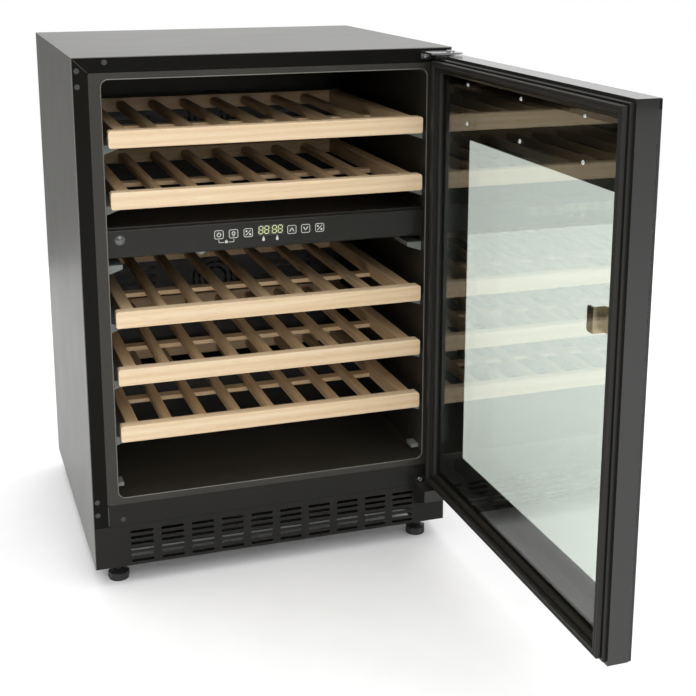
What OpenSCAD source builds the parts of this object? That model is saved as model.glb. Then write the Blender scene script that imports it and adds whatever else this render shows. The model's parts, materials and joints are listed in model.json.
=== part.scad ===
// Built-under dual-zone wine cooler with a glazed door, standing open at a right angle.
// Frame: +X to the right of someone facing the open front, +Y into the cabinet, +Z up.
// Origin: on the floor, below the middle of the cabinet's front plane. Millimetres throughout.

/* [Cabinet] */
// Overall width of the cabinet and of the door
cabinet_w = 595; // [540:1:700]
// Depth of the cabinet from its front plane to its rear panel
cabinet_d = 528; // [500:1:640]
// Height of the cabinet without its feet
body_h = 808; // [790:1:1000]
// Visible length of the levelling feet
foot_h = 32; // [15:1:60]
// Thickness of the sheet steel casing
sheet_t = 1.2; // [0.8:0.1:2]
// Width of the steel flange round the opening
flange_w = 23; // [16:1:28]
// Height of the ventilated plinth
plinth_h = 70; // [60:1:90]
// Height of the steel rail between plinth and liner
rail_h = 36; // [28:1:46]

/* [Liner] */
// Width of the plastic liner's front flange at the sides
liner_side = 18; // [12:1:26]
// Height of the liner's front flange at the top and at the bottom
liner_edge = 10; // [8:1:16]
// Wall of the plastic liner
liner_t = 2.5; // [1.5:0.1:4]
// Depth of the liner behind the front plane
liner_d = 442; // [430:1:460]
// Radius of the liner's mouth corners
mouth_r = 12; // [6:1:20]
// Depth from the front to the step over the compressor
step_y = 330; // [280:1:350]
// Gap between the lowest shelf and that step
step_gap = 16; // [15.5:0.5:24]

/* [Door] */
// Height of the door's lower edge above the top of the plinth
door_above_plinth = 7; // [4:1:20]
// Distance of the door's upper edge below the top of the cabinet
door_below_top = 10; // [4:1:30]
// Thickness of the steel door frame behind the glass
door_t = 30; // [24:1:38]
// Thickness of the outer glass pane
outer_glass_t = 4; // [3:0.5:6]
// Thickness of the inner glass pane
inner_glass_t = 3.2; // [3:0.2:5]
// Gap from the cabinet's front plane to the door frame when shut
door_gap = 14.5; // [13:0.5:18]
// Inset of the hinge axis from the side of the cabinet
hinge_in = 15; // [13:1:18]
// Distance of the hinge axis in front of the cabinet
hinge_out = 31; // [29:1:34]
// Angle at which the door stands open
door_open = 90; // [0:1:110]
// Diameter of the hinge pins
pin_d = 8; // [6:0.5:10]

/* [Handle] */
// Height of the pull handle
handle_h = 36; // [30:1:120]
// Height of the handle's middle above the door's lower edge
handle_z = 418; // [200:1:600]
// Distance from the door's free edge to the handle's grip
handle_in = 102; // [90:1:140]
// Distance the grip stands off the glass
handle_off = 18; // [14:1:40]

/* [Shelves] */
// Vertical distance between neighbouring shelf levels
shelf_pitch = 92.5; // [90:0.5:110]
// Height of a shelf's front strip
strip_h = 26.5; // [22:0.5:32]
// Thickness of a shelf's front strip
strip_t = 18; // [14:1:24]
// Depth of a shelf
shelf_d = 411; // [380:1:415]
// Gap between a shelf's strip and the liner wall
shelf_gap = 8; // [5:0.5:10]
// Inset of a shelf's side rails from the ends of its strip
side_rail_in = 10.5; // [8:0.5:16]
// Width of a shelf's side rail
side_rail_w = 20; // [16:1:26]
// Width of one slat
slat_w = 16; // [12:1:22]
// Thickness of one slat
slat_t = 12; // [6:0.5:14]
// Number of slats on a shelf
slat_count = 7; // [5:1:8]

/* [Controls] */
// Height of the control fascia
fascia_h = 44; // [38:1:48]
// Depth of the control fascia
fascia_d = 20; // [14:1:26]
// Distance of the fascia's face behind the front plane
fascia_y = 8; // [4:1:14]
// Diameter of the door switch button
button_d = 13; // [10:0.5:16]
// Travel of the door switch button
button_travel = 3; // [2:0.5:4]

/* [Cooling] */
// Diameter of the evaporator fans
fan_d = 92; // [80:1:110]
// Diameter of the condenser fan
condenser_fan_d = 118; // [100:1:124]
// Diameter of the compressor shell
compressor_d = 142; // [120:1:146]

/* [Hidden] */
$fn = 64;
e = 0.05;                     // overrun of cutting tools
run_c = 0.05;                 // radial running clearance of a pin
seat_c = 0.3;                 // clearance between loose neighbours
body_z0 = foot_h;
body_z1 = foot_h + body_h;
half_w = cabinet_w / 2;
plinth_z1 = body_z0 + plinth_h;
rail_z1 = plinth_z1 + rail_h;
open_half = half_w - flange_w - liner_side;
open_z0 = rail_z1 + liner_edge + 1;
open_z1 = body_z1 - flange_w - liner_edge;
open_h = open_z1 - open_z0;
shelf_top_z = open_z1 - 75.5;
step_z1 = strip_top(5) - strip_h - step_gap;
deck_foam = 40;               // foam below the liner floor
deck_z1 = open_z0 - liner_t - deck_foam;
bay_y = step_y + 22;          // front of the compressor bay
bay_z1 = step_z1 - liner_t - 22;
base_y = 38;                  // front lip of the base pan
base_z1 = body_z0 + 2;

hinge_x = half_w - hinge_in;
hinge_y = -hinge_out;
door_z1 = body_z1 - door_below_top;
door_z0 = plinth_z1 + door_above_plinth;
door_h = door_z1 - door_z0;
door_back = -door_gap;
door_front = door_back - door_t;
frame_ring = 25;              // width of the steel door frame
frame_t = 1.5;                // wall of the steel door frame
rim_in = 27;                  // inner edge of the plastic inner frame
gasket_in = 8.2;
gasket_w = 10;
pane_in = 24;
bush_h = 18;

strip_y0 = -4;
shelf_y1 = strip_y0 + shelf_d;
shelf_half = open_half - shelf_gap;
slat_drop = 5;                // slats below the top of the strip
runner_rise = 2.5;            // runner tops above the bottom of the strip
runner_w = 24;
// Levels counted from the top; level 3 is taken by the control fascia
levels = [0, 1, 3, 4, 5];
function strip_top(level) = shelf_top_z - level * shelf_pitch;
fascia_z1 = strip_top(2) + 33;
fascia_z0 = fascia_z1 - fascia_h;
divider_y0 = fascia_y + fascia_d;
button_x = -open_half + 20;
button_z = fascia_z0 + 0.64 * fascia_h;
lamp_x = -open_half * 0.43;

cover_y = liner_d - 24;       // face of the air duct covers
cover_t = 2;
upper_cover_z = [fascia_z1 + 16, open_z1 - 18];
lower_cover_z = [step_z1 + 16, fascia_z0 - 14];
fan_y = cover_y + 6;
fan_t = 9;
motor_d = 30;
upper_fan_z = (upper_cover_z[0] + upper_cover_z[1]) / 2;
lower_fan_z = (lower_cover_z[0] + lower_cover_z[1]) / 2;

foot_x = half_w - 40;
foot_y = 30;
foot_r = 16;
stud_r = 5;
compressor_x = -half_w * 0.45;
compressor_gap = 1.5;         // least gap between the compressor and the rear panel
compressor_y = min((bay_y + cabinet_d) / 2 + 4,
                   cabinet_d - sheet_t - compressor_gap - compressor_d / 2);
coil_x0 = half_w * 0.42;
coil_x1 = foot_x - 16;
coil_y0 = bay_y + 24;
coil_y1 = cabinet_d - 30;
cond_fan_x = coil_x0 - 34;
cond_fan_z = base_z1 + 8 + condenser_fan_d / 2 + 4;

steel = [0.16, 0.16, 0.16];
black = [0.05, 0.05, 0.05];
dark = [0.09, 0.09, 0.09];
zinc = [0.72, 0.73, 0.74];
beech = [0.86, 0.72, 0.52];
white_foam = [0.85, 0.82, 0.62];

// ---- helpers ----

// A box given by its two corners.
module box(a, b) {
  translate(a) cube([b[0] - a[0], b[1] - a[1], b[2] - a[2]]);
}

// A 2D shape drawn in X and Z, made solid from y0 over depth.
module along_y(y0, depth) {
  translate([0, y0 + depth, 0]) rotate([90, 0, 0]) linear_extrude(depth) children();
}

// A 2D shape drawn in Y and Z, made solid from x0 over length.
module along_x(x0, length) {
  translate([x0, 0, 0]) rotate([90, 0, 90]) linear_extrude(length) children();
}

module rounded_rect(x0, z0, x1, z1, r) {
  union() {
    translate([x0 + r, z0]) square([x1 - x0 - 2 * r, z1 - z0]);
    translate([x0, z0 + r]) square([x1 - x0, z1 - z0 - 2 * r]);
    for (x = [x0 + r, x1 - r], z = [z0 + r, z1 - r]) translate([x, z]) circle(r);
  }
}

module rod_y(x, z, y0, y1, r) {
  translate([x, y1, z]) rotate([90, 0, 0]) cylinder(h = y1 - y0, r = r);
}

module rod_x(y, z, x0, x1, r) {
  translate([x0, y, z]) rotate([0, 90, 0]) cylinder(h = x1 - x0, r = r);
}

module rod_z(x, y, z0, z1, r) {
  translate([x, y, z0]) cylinder(h = z1 - z0, r = r);
}

// A slot with round ends, centred, lying along X in the XZ plane.
module slot_xz(w, h) {
  union() {
    square([w - h, h], center = true);
    for (s = [-1, 1]) translate([s * (w - h) / 2, 0]) circle(h / 2, $fn = 24);
  }
}

// The shape of the space inside the liner, grown by g on every side but the front.
module liner_space(g, front) {
  difference() {
    along_y(front, liner_d + g - front)
      rounded_rect(-open_half - g, open_z0 - g, open_half + g, open_z1 + g, mouth_r + g);
    box([-half_w, step_y + g, open_z0 - g - e], [half_w, cabinet_d, step_z1 - g]);
  }
}

// Puts the shut door, drawn in front of the cabinet, at its open angle.
module swung() {
  translate([hinge_x, hinge_y, 0]) rotate([0, 0, door_open])
    translate([-hinge_x, -hinge_y, 0]) children();
}

// A mitred frame round the door: the profile has the inset from the door's edge as its
// first coordinate and Y as its second.
module door_ring(profile, reach) {
  module side_region() {
    polygon([[-half_w - e, door_z0 - e], [-half_w + reach, door_z0 + reach],
             [-half_w + reach, door_z1 - reach], [-half_w - e, door_z1 + e]]);
  }
  module end_region() {
    polygon([[-half_w - e, door_z0 - e], [half_w + e, door_z0 - e],
             [half_w - reach, door_z0 + reach], [-half_w + reach, door_z0 + reach]]);
  }
  union() {
    for (s = [0, 1]) mirror([s, 0, 0]) intersection() {
      translate([-half_w, 0, door_z0]) linear_extrude(door_h) polygon(profile);
      along_y(-100, 200) side_region();
    }
    for (s = [0, 1])
      translate([0, 0, s * (door_z0 + door_z1)]) mirror([0, 0, s]) intersection() {
        along_x(-half_w, cabinet_w)
          polygon([for (p = profile) [p[1], door_z0 + p[0]]]);
        along_y(-100, 200) end_region();
      }
  }
}

// A screw with a domed head and a cross recess; its head faces -Y at y.
module screw_y(x, y, z, head_r, head_h, shank_r, length) {
  difference() {
    union() {
      rod_y(x, z, y - head_h * 0.5, y, head_r);
      rod_y(x, z, y - head_h, y, head_r * 0.78);
      rod_y(x, z, y, y + length, shank_r);
    }
    for (a = [0, 90]) translate([x, y - head_h, z]) rotate([0, a, 0])
      cube([head_r * 1.1, head_h * 1.4, head_r * 0.3], center = true);
  }
}

// ---- casing ----

module outer_wrap() color(steel) {
  difference() {
    box([-half_w, 0, body_z0], [half_w, cabinet_d - sheet_t, body_z1]);
    box([-half_w + sheet_t, -1, body_z0 - 1], [half_w - sheet_t, cabinet_d, body_z1 - sheet_t]);
  }
}

// Screw holes of the flange: two at each end of the left side, one in the top.
flange_screws = [[-half_w + 7.5, body_z1 - 19.5], [-half_w + 7.5, body_z1 - 42.5],
                 [-half_w + 7.5, rail_z1 + 9], [-half_w + 7.5, rail_z1 - 13],
                 [-half_w + 48, body_z1 - 8]];
rail_screw = [-half_w + 47, plinth_z1 + 11];
flange_t = 1.5;
screw_r = 2;

module front_frame() color(black) {
  inner = half_w - sheet_t - e / 5;
  top = body_z1 - sheet_t - e / 5;
  difference() {
    union() {
      box([-inner, 0, plinth_z1 + 0.5], [inner, flange_t, top]);
    }
    box([-half_w + flange_w, -1, 0], [half_w - flange_w, 3, body_z1 - flange_w]);
    for (p = flange_screws) rod_y(p[0], p[1], -1, 3, screw_r);
    // mitre lines at the top corners
    for (s = [-1, 1])
      translate([s * (half_w - flange_w / 2), 0, body_z1 - flange_w / 2])
        rotate([0, -s * 45, 0]) cube([flange_w * 1.7, 0.8, 0.5], center = true);
    for (x = [hinge_x - 28, hinge_x - 8]) rod_y(x, top_leg_z, -1, 3, hinge_screw_r);
  }
}

module bottom_rail() color(black) {
  edge = half_w - flange_w - 0.6;
  difference() {
    union() {
      box([-edge, 0, plinth_z1 + 0.5], [edge, flange_t, rail_z1]);
      box([-edge, flange_t - e, rail_z1 - flange_t], [edge, 10, rail_z1]);
    }
    rod_y(rail_screw[0], rail_screw[1], -1, 3, screw_r);
    for (x = hinge_holes_x) rod_y(x, bracket_hole_z, -1, 3, hinge_screw_r);
  }
}

grille_groups = 10;
grille_rows = 6;
grille_pitch = 49.3;
grille_slot_w = 37;
grille_slot_h = 5;
grille_row_pitch = 10;

module plinth_grille() color(black) {
  first = -(grille_groups - 1) / 2 * grille_pitch;
  count = floor(min(grille_groups, (cabinet_w - 60) / grille_pitch));
  start = -(count - 1) / 2 * grille_pitch;
  top_row = plinth_z1 - 13;
  edge = half_w - sheet_t - e / 5;
  difference() {
    union() {
      box([-edge, 0, body_z0], [edge, flange_t, plinth_z1]);
      box([-edge, flange_t - e, body_z0], [edge, 16, body_z0 + flange_t]);
      box([-edge, flange_t - e, plinth_z1 - flange_t], [edge, 12, plinth_z1]);
    }
    along_y(-1, 4) for (g = [0 : count - 1], r = [0 : grille_rows - 1])
      translate([start + g * grille_pitch, top_row - r * grille_row_pitch])
        slot_xz(grille_slot_w, grille_slot_h);
    for (x = hinge_holes_x) rod_y(x, bracket_low_z, -1, 3, hinge_screw_r);
  }
}

module rear_panel() color(steel) {
  difference() {
    box([-half_w, cabinet_d - sheet_t, body_z0], [half_w, cabinet_d, body_z1]);
    // louvres over the compressor bay
    along_y(cabinet_d - 3, 6)
      for (r = [0 : 6], s = [-1, 1])
        translate([s * half_w * 0.42, body_z0 + 48 + r * 14]) slot_xz(half_w * 0.62, 6);
    box([-inlet_w / 2, cabinet_d - 3, inlet_z - inlet_h / 2],
        [inlet_w / 2, cabinet_d + 3, inlet_z + inlet_h / 2]);
  }
}

module base_pan() color(zinc) {
  edge = half_w - sheet_t - e / 5;
  difference() {
    union() {
      box([-edge, base_y, body_z0], [edge, cabinet_d - sheet_t, base_z1]);
      box([-edge, base_y, body_z0], [edge, base_y + 2, body_z0 + 9]);
      for (x = [-foot_x, foot_x], y = [foot_y, cabinet_d - 40])
        rod_z(x, y, body_z0 + (y < base_y + foot_r ? flange_t : 0), base_z1 + 14, 11);
      for (x = [-foot_x, foot_x])
        box([x - 14, 18, body_z0 + flange_t], [x + 14, base_y + 6, body_z0 + flange_t + 2]);
    }
    for (x = [-foot_x, foot_x], y = [foot_y, cabinet_d - 40])
      rod_z(x, y, body_z0 - 1, base_z1 + 20, stud_r + run_c);
  }
}

module deck_panel() color(zinc) {
  edge = half_w - sheet_t - e / 5;
  union() {
    box([-edge, 2, deck_z1 - 1], [edge, bay_y, deck_z1]);
    box([-edge, bay_y, deck_z1 - 1], [edge, bay_y + 1, bay_z1]);
    box([-edge, bay_y, bay_z1], [edge, cabinet_d - sheet_t, bay_z1 + 1]);
  }
}

module insulation() color(white_foam) {
  edge = half_w - sheet_t - seat_c;
  difference() {
    box([-edge, 11, deck_z1 + e], [edge, cabinet_d - sheet_t - seat_c, body_z1 - sheet_t - seat_c]);
    liner_space(liner_t + seat_c, -1);
    box([-half_w, bay_y - seat_c, 0], [half_w, cabinet_d, bay_z1 + 1 + seat_c]);
  }
}

// ---- inside ----

module liner() color(dark) {
  side = half_w - flange_w - 0.4;
  difference() {
    union() {
      liner_space(liner_t, 2);
      along_y(0, 2.2) rounded_rect(-side, rail_z1 + 0.4, side, body_z1 - flange_w - 0.4, 3);
    }
    liner_space(0, -1);
  }
}

runner_y0 = 18;
runner_y1 = cover_y - 12;

// One runner, on the right wall; a wedge that meets the wall with its deep side.
module runner(level) {
  top = strip_top(level) - strip_h + runner_rise;
  wall = open_half;
  translate([0, runner_y1, 0]) rotate([90, 0, 0]) linear_extrude(runner_y1 - runner_y0)
    polygon([[wall, top], [wall - runner_w, top], [wall - runner_w, top - 6.5], [wall, top - 15]]);
}

module shelf_runners() color([0.35, 0.36, 0.37]) {
  for (s = [0, 1]) mirror([s, 0, 0]) {
    for (level = [0 : 5]) runner(level);
    box([open_half - 12, runner_y0, open_z0 + mouth_r + 1],
        [open_half, runner_y0 + 24, open_z0 + mouth_r + 7]);
  }
}

module zone_divider() color(black) {
  edge = open_half - seat_c;
  union() {
    box([-edge, divider_y0, fascia_z0 + 6], [edge, liner_d - seat_c, fascia_z1 - 5]);
    // lip that covers the top of the fascia
    box([-edge, divider_y0, fascia_z1 - 6], [edge, divider_y0 + 4, fascia_z1 + 3]);
    box([-edge, fascia_y + 5, fascia_z1 + 0.3], [edge, divider_y0 + 4, fascia_z1 + 3]);
  }
}

module control_fascia() color(black) {
  r = 3;
  difference() {
    along_x(-open_half + 1.5, 2 * open_half - 3) union() {
      translate([fascia_y, fascia_z0 + r]) square([fascia_d, fascia_h - 2 * r]);
      translate([fascia_y + r, fascia_z0]) square([fascia_d - r, fascia_h]);
      for (z = [fascia_z0 + r, fascia_z1 - r]) translate([fascia_y + r, z]) circle(r);
    }
    box([-open_half + 5, fascia_y + 3, fascia_z0 + 4],
        [open_half - 5, fascia_y + fascia_d + 1, fascia_z1 - 4]);
    rod_y(button_x, button_z, fascia_y - 1, fascia_y + 6, bezel_r);
  }
}

bezel_r = button_d / 2 + 1.6;

module control_board() color([0.1, 0.35, 0.2]) {
  union() {
    box([-112, fascia_y + 7, fascia_z0 + 8], [104, fascia_y + 8.6, fascia_z1 - 8]);
    box([-26, fascia_y + 3, fascia_z0 + 16], [24, fascia_y + 7 + e, fascia_z1 - 12]);
    for (x = [-86, -62, -38, 36, 58, 82])
      rod_y(x, fascia_z0 + fascia_h / 2 + 2, fascia_y + 3, fascia_y + 7 + e, 4);
  }
}

module button_bezel() color(black) {
  difference() {
    union() {
      rod_y(button_x, button_z, fascia_y - 0.8, fascia_y + 11, bezel_r);
    }
    rod_y(button_x, button_z, fascia_y - 2, fascia_y + 9, button_d / 2 + run_c);
    rod_y(button_x, button_z, fascia_y + 8, fascia_y + 12, 3 + run_c);
  }
}

module door_switch_button() color([0.2, 0.2, 0.21]) {
  dome_r = button_d;
  r = button_d / 2;
  face = fascia_y - button_travel - 0.6;
  sag = dome_r - sqrt(dome_r * dome_r - r * r);
  translate([button_x, face, button_z]) rotate([-90, 0, 0]) rotate_extrude() polygon(concat(
    [for (a = [0 : 5 : 29]) [dome_r * sin(a), dome_r * (1 - cos(a))]],
    [[r, sag], [r, 9], [3, 9], [3, 19], [0, 19]]));
}

module interior_lamps() color([0.9, 0.92, 0.95]) {
  intersection() {
    translate([lamp_x, fascia_y + 12, fascia_z0 + 2]) sphere(9);
    box([lamp_x - 10, fascia_y, fascia_z0 - 8], [lamp_x + 10, fascia_y + 24, fascia_z0]);
  }
  box([lamp_x - 20, 40, open_z1 - 4], [lamp_x + 40, 52, open_z1]);
}

module temperature_sensors() color([0.75, 0.76, 0.78]) {
  for (z = [upper_cover_z[1] - 14, lower_cover_z[1] - 14]) {
    rod_y(open_half - 70, z, cover_y - 9, cover_y, 3);
  }
}

// A shallow plastic cover with a ring of air slots round the fan.
module duct_cover(z, fan_z) {
  half = open_half - 42;
  difference() {
    box([-half, cover_y, z[0]], [half, liner_d - e / 5, z[1]]);
    box([-half + cover_t, cover_y + cover_t, z[0] + cover_t],
        [half - cover_t, liner_d + 1, z[1] - cover_t]);
    for (r = [fan_d * 0.22, fan_d * 0.34, fan_d * 0.46])
      for (a = [0 : 90 : 270]) rotate_about(fan_z, a) intersection() {
        ring_y(fan_z, r, 4);
        box([0, cover_y - 1, fan_z], [fan_d, cover_y + 3, fan_z + fan_d]);
      }
    for (s = [-1, 1], k = [0 : 4])
      along_y(cover_y - 1, cover_t + 2)
        translate([s * half * 0.7, (z[0] + z[1]) / 2 + (k - 2) * 14]) slot_xz(half * 0.34, 6);
  }
}

module rotate_about(z, a) {
  translate([0, 0, z]) rotate([0, a, 0]) translate([0, 0, -z]) children();
}

// A quarter of a ring of slots, kept 2 mm off the axes so that spokes remain.
module ring_y(z, r, w) {
  difference() {
    rod_y(0, z, cover_y - 1, cover_y + cover_t + 1, r + w / 2);
    rod_y(0, z, cover_y - 2, cover_y + cover_t + 2, r - w / 2);
    box([-2, cover_y - 2, z - fan_d], [2, cover_y + cover_t + 2, z + fan_d]);
    box([-fan_d, cover_y - 2, z - 2], [fan_d, cover_y + cover_t + 2, z + 2]);
  }
}

module upper_duct_cover() color(black) duct_cover(upper_cover_z, upper_fan_z);
module lower_duct_cover() color(black) duct_cover(lower_cover_z, lower_fan_z);

module evaporator_plate(z, fan_z) {
  half = open_half - 50;
  difference() {
    box([-half, liner_d - 6, z[0] + 6], [half, liner_d - 4, z[1] - 6]);
    rod_y(0, fan_z, liner_d - 8, liner_d, fan_d / 2 + 2);
  }
}

module evaporator_plates() color([0.8, 0.81, 0.83]) {
  evaporator_plate(upper_cover_z, upper_fan_z);
  evaporator_plate(lower_cover_z, lower_fan_z);
}

module fan_motors() color(dark) {
  for (z = [upper_fan_z, lower_fan_z]) difference() {
    rod_y(0, z, fan_y + fan_t + 0.5, liner_d - e / 5, motor_d / 2);
    rod_y(0, z, fan_y, liner_d - 2, 1.5 + run_c);
  }
}

// An axial rotor about Y at height z, with its shaft running back into its motor.
module axial_rotor(z, d, y, t, hub) {
  blades = 7;
  union() {
    rod_y(0, z, y, y + t, hub);
    for (k = [0 : blades - 1]) rotate_about(z, k * 360 / blades)
      translate([0, y + t / 2, z]) rotate([0, 0, 0]) rotate([0, 0, 32])
        translate([-t * 0.75, -0.8, hub - 1]) cube([t * 1.5, 1.6, d / 2 - hub - 1]);
  }
}

module evaporator_rotor(z) {
  union() {
    axial_rotor(z, fan_d - 4, fan_y, fan_t, motor_d / 2);
    rod_y(0, z, fan_y + fan_t - 1, liner_d - 3, 1.5);
  }
}

module upper_fan_rotor() color([0.2, 0.2, 0.2]) evaporator_rotor(upper_fan_z);
module lower_fan_rotor() color([0.2, 0.2, 0.2]) evaporator_rotor(lower_fan_z);

// ---- cooling machine in the bay ----

mount_h = 12;
mount_dx = 70;
mount_dy = 46;

module compressor() color(black) {
  r = compressor_d / 2;
  z0 = base_z1 + mount_h;
  dome = r * 0.42;
  top = bay_z1 - 14 - z0;
  union() {
    translate([compressor_x, compressor_y, z0]) rotate_extrude() polygon(concat(
      [[0, 0], [r * 0.82, 0], [r, 16], [r, top - dome]],
      [for (a = [10 : 10 : 90]) [r * cos(a), top - dome + dome * sin(a)]]));
    box([compressor_x - mount_dx - 12, compressor_y - mount_dy - 12, z0],
        [compressor_x + mount_dx + 12, compressor_y + mount_dy + 12, z0 + 3]);
    box([compressor_x + r - 6, compressor_y - 24, z0 + 30],
        [compressor_x + r + 22, compressor_y + 24, z0 + 84]);
  }
}

module compressor_mounts() color([0.12, 0.12, 0.12]) {
  for (x = [-mount_dx, mount_dx], y = [-mount_dy, mount_dy])
    rod_z(compressor_x + x, compressor_y + y, base_z1, base_z1 + mount_h, 9);
}

coil_rows = 7;
coil_r = 2.4;

// A flat serpentine of tube in one vertical plane at y.
module serpentine(y) {
  pitch = (bay_z1 - 36 - base_z1) / coil_rows;
  z0 = base_z1 + 20;
  for (k = [0 : coil_rows - 1]) rod_x(y, z0 + k * pitch, coil_x0, coil_x1, coil_r);
  for (k = [0 : coil_rows - 2]) {
    x = k % 2 == 0 ? coil_x1 : coil_x0;
    rod_z(x, y, z0 + k * pitch, z0 + (k + 1) * pitch, coil_r);
    for (j = [k, k + 1]) translate([x, y, z0 + j * pitch]) sphere(coil_r, $fn = 24);
  }
}

module condenser_coil() color(black) {
  span = coil_y1 - coil_y0;
  fins = 9;
  union() {
    for (k = [0 : 2]) serpentine(coil_y0 + span * (0.2 + 0.3 * k));
    for (k = [0 : fins])
      translate([coil_x0 + 8 + k * (coil_x1 - coil_x0 - 16) / fins - 0.5, coil_y0, base_z1])
        cube([1, span, bay_z1 - 20 - base_z1]);
  }
}

module condenser_fan_frame() color(black) {
  r = condenser_fan_d / 2 + 2;
  side = r + 5;
  depth = 24;
  difference() {
    union() {
      difference() {
        box([cond_fan_x - depth, compressor_y - side, base_z1],
            [cond_fan_x, compressor_y + side, cond_fan_z + side]);
        rod_x(compressor_y, cond_fan_z, cond_fan_x - depth - 1, cond_fan_x + 1, r);
      }
      rod_x(compressor_y, cond_fan_z, cond_fan_x - 9, cond_fan_x - 0.5, 22);
      for (a = [0 : 60 : 120]) translate([cond_fan_x - 4, compressor_y, cond_fan_z])
        rotate([a, 0, 0]) cube([5, 4, 2 * r + 2], center = true);
    }
    rod_x(compressor_y, cond_fan_z, cond_fan_x - 12, cond_fan_x + 2, 2 + run_c);
  }
}

module condenser_fan_rotor() color([0.18, 0.18, 0.18]) {
  hub = 20;
  t = 12;
  x1 = cond_fan_x - 9.5;
  blades = 6;
  union() {
    rod_x(compressor_y, cond_fan_z, x1 - t, x1, hub);
    rod_x(compressor_y, cond_fan_z, x1 - 1, cond_fan_x - 1, 2);
    for (k = [0 : blades - 1])
      translate([x1 - t / 2, compressor_y, cond_fan_z]) rotate([k * 360 / blades, 0, 0])
        rotate([0, 0, 35]) translate([-0.9, -t * 0.7, hub - 1])
          cube([1.8, t * 1.4, condenser_fan_d / 2 - hub - 1]);
  }
}

module drip_tray() color(dark) {
  x0 = compressor_x - 70;
  x1 = compressor_x + 70;
  y0 = compressor_y - 60;
  y1 = compressor_y + 60;
  z0 = bay_z1 - 12;
  difference() {
    box([x0, y0, z0], [x1, y1, bay_z1 - 1]);
    box([x0 + 2, y0 + 2, z0 + 2], [x1 - 2, y1 - 2, bay_z1]);
  }
}

inlet_w = 27;
inlet_h = 20;
inlet_z = body_z0 + 118;

module power_inlet() color(black) {
  difference() {
    union() {
      box([-inlet_w / 2 + 0.2, cabinet_d - 26, inlet_z - inlet_h / 2 + 0.2],
          [inlet_w / 2 - 0.2, cabinet_d, inlet_z + inlet_h / 2 - 0.2]);
      box([-inlet_w / 2 - 7, cabinet_d, inlet_z - inlet_h / 2 - 4],
          [inlet_w / 2 + 7, cabinet_d + 2.5, inlet_z + inlet_h / 2 + 4]);
    }
    box([-inlet_w / 2 + 2, cabinet_d - 18, inlet_z - inlet_h / 2 + 2],
        [inlet_w / 2 - 2, cabinet_d + 4, inlet_z + inlet_h / 2 - 2]);
  }
}

// ---- hinges and fasteners ----

hinge_plate_t = 3;
hinge_screw_r = 2.5;
hinge_reach = 46;
top_plate_z = door_z1 + 2;
top_leg_z = top_plate_z - 4.8;
bracket_z1 = door_z0 - 2;
bracket_t = 2.5;
bracket_x0 = half_w - 53;
bracket_x1 = half_w - 2;
bracket_y = -44;
bracket_hole_z = bracket_z1 + 4.8;
bracket_low_z = bracket_z1 - 32;
hinge_holes_x = [hinge_x - 30, hinge_x - 16];

module top_hinge_plate() color([0.7, 0.7, 0.72]) {
  difference() {
    union() {
      box([half_w - 53, -hinge_reach, top_plate_z], [half_w - 1, 0, top_plate_z + hinge_plate_t]);
      box([half_w - 53, -hinge_plate_t, door_z1 - gasket_in + 0.8], [half_w - 1, 0, top_plate_z + e]);
    }
    rod_z(hinge_x, hinge_y, top_plate_z - 1, top_plate_z + 5, pin_d / 2 + 0.02);
    for (x = [hinge_x - 28, hinge_x - 8]) rod_y(x, top_leg_z, -5, 1, hinge_screw_r);
  }
}

module bottom_hinge_bracket() color(black) {
  low = bracket_low_z - 8;
  lip = 20;
  difference() {
    union() {
      box([bracket_x0, bracket_y, bracket_z1 - bracket_t], [bracket_x1, 0, bracket_z1]);
      box([bracket_x0, -bracket_t, low], [bracket_x1, 0, bracket_z1 + 8]);
      box([bracket_x0, bracket_y, bracket_z1 - lip], [bracket_x1, bracket_y + bracket_t, bracket_z1]);
      for (x = [bracket_x0, bracket_x1 - bracket_t]) along_x(x, bracket_t)
        polygon([[0, low], [0, bracket_z1], [bracket_y, bracket_z1], [bracket_y, bracket_z1 - lip]]);
    }
    rod_z(hinge_x, hinge_y, bracket_z1 - 5, bracket_z1 + 5, pin_d / 2 + 0.02);
    for (x = hinge_holes_x, z = [bracket_hole_z, bracket_low_z]) rod_y(x, z, -4, 1, hinge_screw_r);
  }
}

module hinge_pins() color([0.78, 0.78, 0.8]) {
  union() {
    rod_z(hinge_x, hinge_y, top_plate_z - bush_h, top_plate_z + hinge_plate_t, pin_d / 2);
    rod_z(hinge_x, hinge_y, top_plate_z + hinge_plate_t, top_plate_z + hinge_plate_t + 2.5, pin_d / 2 + 3);
  }
  union() {
    rod_z(hinge_x, hinge_y, bracket_z1 - bracket_t, bracket_z1 + bush_h, pin_d / 2);
    rod_z(hinge_x, hinge_y, bracket_z1 - bracket_t - 3, bracket_z1 - bracket_t, pin_d / 2 + 3);
  }
}

module hinge_washer() color([0.85, 0.85, 0.82]) {
  difference() {
    rod_z(hinge_x, hinge_y, bracket_z1, door_z0 - e, 10);
    rod_z(hinge_x, hinge_y, bracket_z1 - 1, door_z0 + 1, pin_d / 2 + run_c);
  }
}

module hinge_screws() color([0.72, 0.72, 0.74]) {
  for (x = [hinge_x - 28, hinge_x - 8])
    screw_y(x, -hinge_plate_t, top_leg_z, 4.2, 1.8, hinge_screw_r - 0.05, 7);
  for (x = hinge_holes_x, z = [bracket_hole_z, bracket_low_z])
    screw_y(x, -bracket_t, z, 4.2, 1.8, hinge_screw_r - 0.05, 7);
}

module frame_screws() color([0.1, 0.1, 0.1]) {
  for (p = flange_screws) screw_y(p[0], 0, p[1], 4, 1, screw_r - 0.05, 8);
  screw_y(rail_screw[0], 0, rail_screw[1], 4, 1, screw_r - 0.05, 6);
}

// ---- feet ----

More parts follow.
